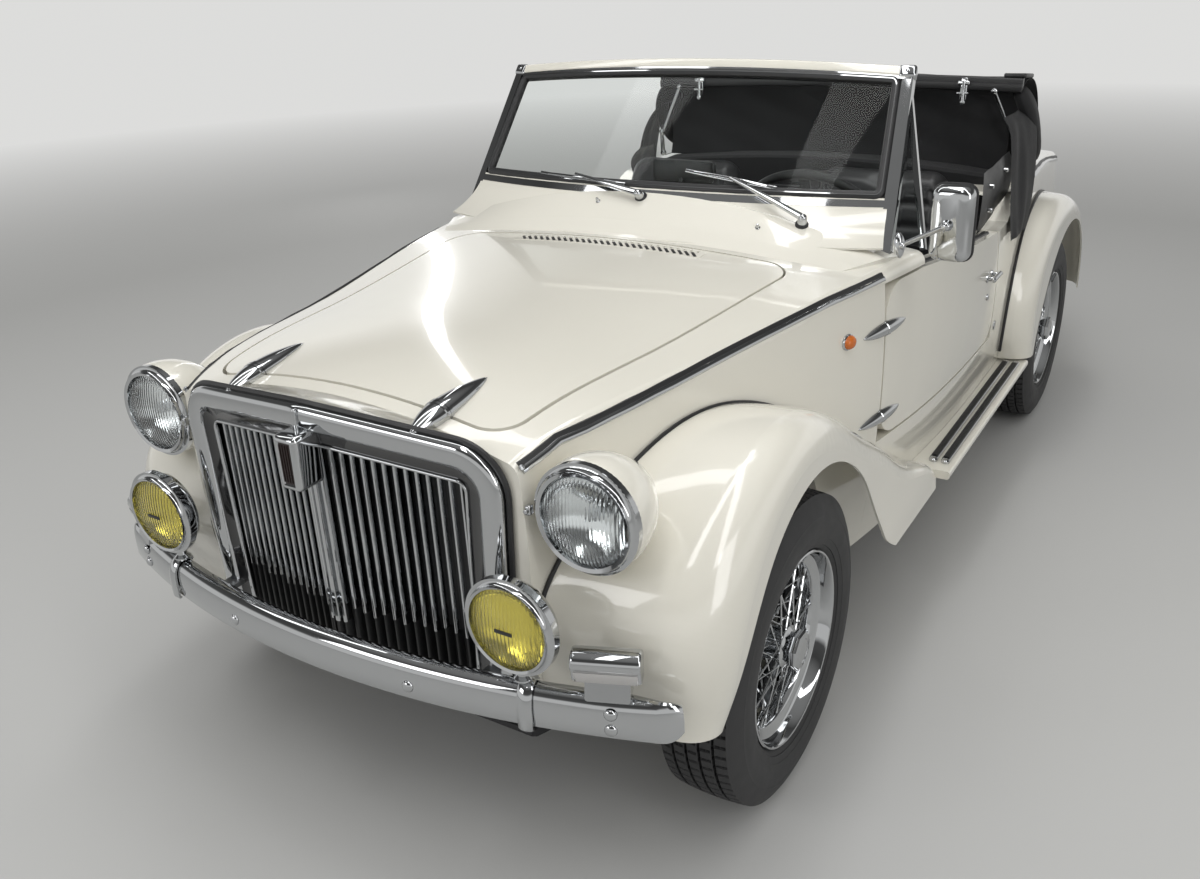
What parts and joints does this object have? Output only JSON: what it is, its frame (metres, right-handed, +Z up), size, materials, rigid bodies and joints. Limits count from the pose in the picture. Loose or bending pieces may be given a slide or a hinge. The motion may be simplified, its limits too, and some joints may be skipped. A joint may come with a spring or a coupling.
{
  "type": "roadster convertible",
  "caption": "Two-seat roadster convertible with separate fenders, running boards, V grille, wire wheels, hinged doors and lids, and steered front wheels.",
  "frame": {"origin": "on the ground, on the centre plane, midway between the front and rear bumpers", "axes": "+Z up, -Y to the front of the car, +X to the driver's side (the car's left)"},
  "size_m": [1.4523, 3.4098, 1.2132],
  "materials": {
    "paint": "gloss ivory enamel",
    "chrome": "polished",
    "underbody": "satin black",
    "black_trim": "satin",
    "vinyl": "grained black",
    "cloth": "black weave",
    "clear_glass": "clear",
    "fluted_glass": "fluted",
    "amber_glass": "fluted amber",
    "red_glass": "fluted red",
    "tyre": "matt",
    "steel": "plain",
    "iron": "plain"
  },
  "bodies": {
    "body": {"front_body": "paint", "rear_body": "paint", "sills": "paint", "fender_front_left": "paint", "fender_front_right": "paint", "fender_rear_left": "paint", "fender_rear_right": "paint", "running_boards": "paint", "lamp_shells": "paint", "grille_shell": "chrome", "grille_bars": "chrome", "front_bumper": "chrome", "rear_bumper": "chrome", "turn_lamps": "chrome", "lamp_rims": "chrome", "windscreen_frame": "chrome", "wipers": "chrome", "hinge_leaves": "chrome", "soft_top_frame": "chrome", "mirrors": "chrome", "floor_pan": "underbody", "toe_board": "underbody", "seat_bulkhead": "underbody", "rear_suspension": "underbody", "front_suspension": "underbody", "exhaust": "underbody", "dashboard": "black_trim", "steering_column": "black_trim", "seats": "vinyl", "soft_top": "cloth", "windscreen_glass": "clear_glass", "headlamp_lenses": "fluted_glass", "fog_lenses": "amber_glass", "tail_lamps": "red_glass", "engine_block": "iron"},
    "door_left": {"door_left": "paint", "door_fittings_left": "chrome"},
    "door_right": {"door_right": "paint", "door_fittings_right": "chrome"},
    "hood_lid": {"hood_lid": "paint"},
    "engine_lid": {"engine_lid": "paint"},
    "knuckle_left": {"knuckle_left": "steel"},
    "knuckle_right": {"knuckle_right": "steel"},
    "steering_wheel": {"steering_wheel": "black_trim"},
    "wheel_front_left": {"wheel_front_left": "chrome", "tyre_front_left": "tyre"},
    "wheel_front_right": {"wheel_front_right": "chrome", "tyre_front_right": "tyre"},
    "wheel_rear_left": {"wheel_rear_left": "chrome", "tyre_rear_left": "tyre"},
    "wheel_rear_right": {"wheel_rear_right": "chrome", "tyre_rear_right": "tyre"}
  },
  "joints": [
    {"name": "door_left_hinge", "type": "hinge", "parent": "body", "child": "door_left", "pos_m": [0.612, -0.603, 0.6], "axis": [0, 0, 1], "range_deg": [-65, 0]},
    {"name": "door_right_hinge", "type": "hinge", "parent": "body", "child": "door_right", "pos_m": [-0.612, -0.603, 0.6], "axis": [0, 0, 1], "range_deg": [0, 65]},
    {"name": "hood_hinge", "type": "hinge", "parent": "body", "child": "hood_lid", "pos_m": [0, -1.549, 0.836], "axis": [1, 0, 0], "range_deg": [0, 60]},
    {"name": "engine_lid_hinge", "type": "hinge", "parent": "body", "child": "engine_lid", "pos_m": [0, 1.004, 0.842], "axis": [1, 0, 0], "range_deg": [0, 60]},
    {"name": "steer_left", "type": "hinge", "parent": "body", "child": "knuckle_left", "pos_m": [0.5, -1.1685, 0.287], "axis": [0, 0, 1], "range_deg": [-30, 30]},
    {"name": "steer_right", "type": "hinge", "parent": "body", "child": "knuckle_right", "pos_m": [-0.5, -1.1685, 0.287], "axis": [0, 0, 1], "range_deg": [-30, 30]},
    {"name": "steering_wheel_turn", "type": "hinge", "parent": "body", "child": "steering_wheel", "pos_m": [0.3, -0.262, 0.8], "axis": [0, 0.891, 0.454], "range_deg": [-450, 450]},
    {"name": "wheel_front_left_spin", "type": "hinge", "parent": "knuckle_left", "child": "wheel_front_left", "pos_m": [0.573, -1.1685, 0.287], "axis": [1, 0, 0], "continuous": true},
    {"name": "wheel_front_right_spin", "type": "hinge", "parent": "knuckle_right", "child": "wheel_front_right", "pos_m": [-0.573, -1.1685, 0.287], "axis": [1, 0, 0], "continuous": true},
    {"name": "wheel_rear_left_spin", "type": "hinge", "parent": "body", "child": "wheel_rear_left", "pos_m": [0.606, 0.8585, 0.287], "axis": [1, 0, 0], "continuous": true},
    {"name": "wheel_rear_right_spin", "type": "hinge", "parent": "body", "child": "wheel_rear_right", "pos_m": [-0.606, 0.8585, 0.287], "axis": [1, 0, 0], "continuous": true}
  ],
  "couplings": [
    {"joint": "steer_right", "follows": "steer_left", "ratio": 1},
    {"joint": "steering_wheel_turn", "follows": "steer_left", "ratio": 15}
  ]
}
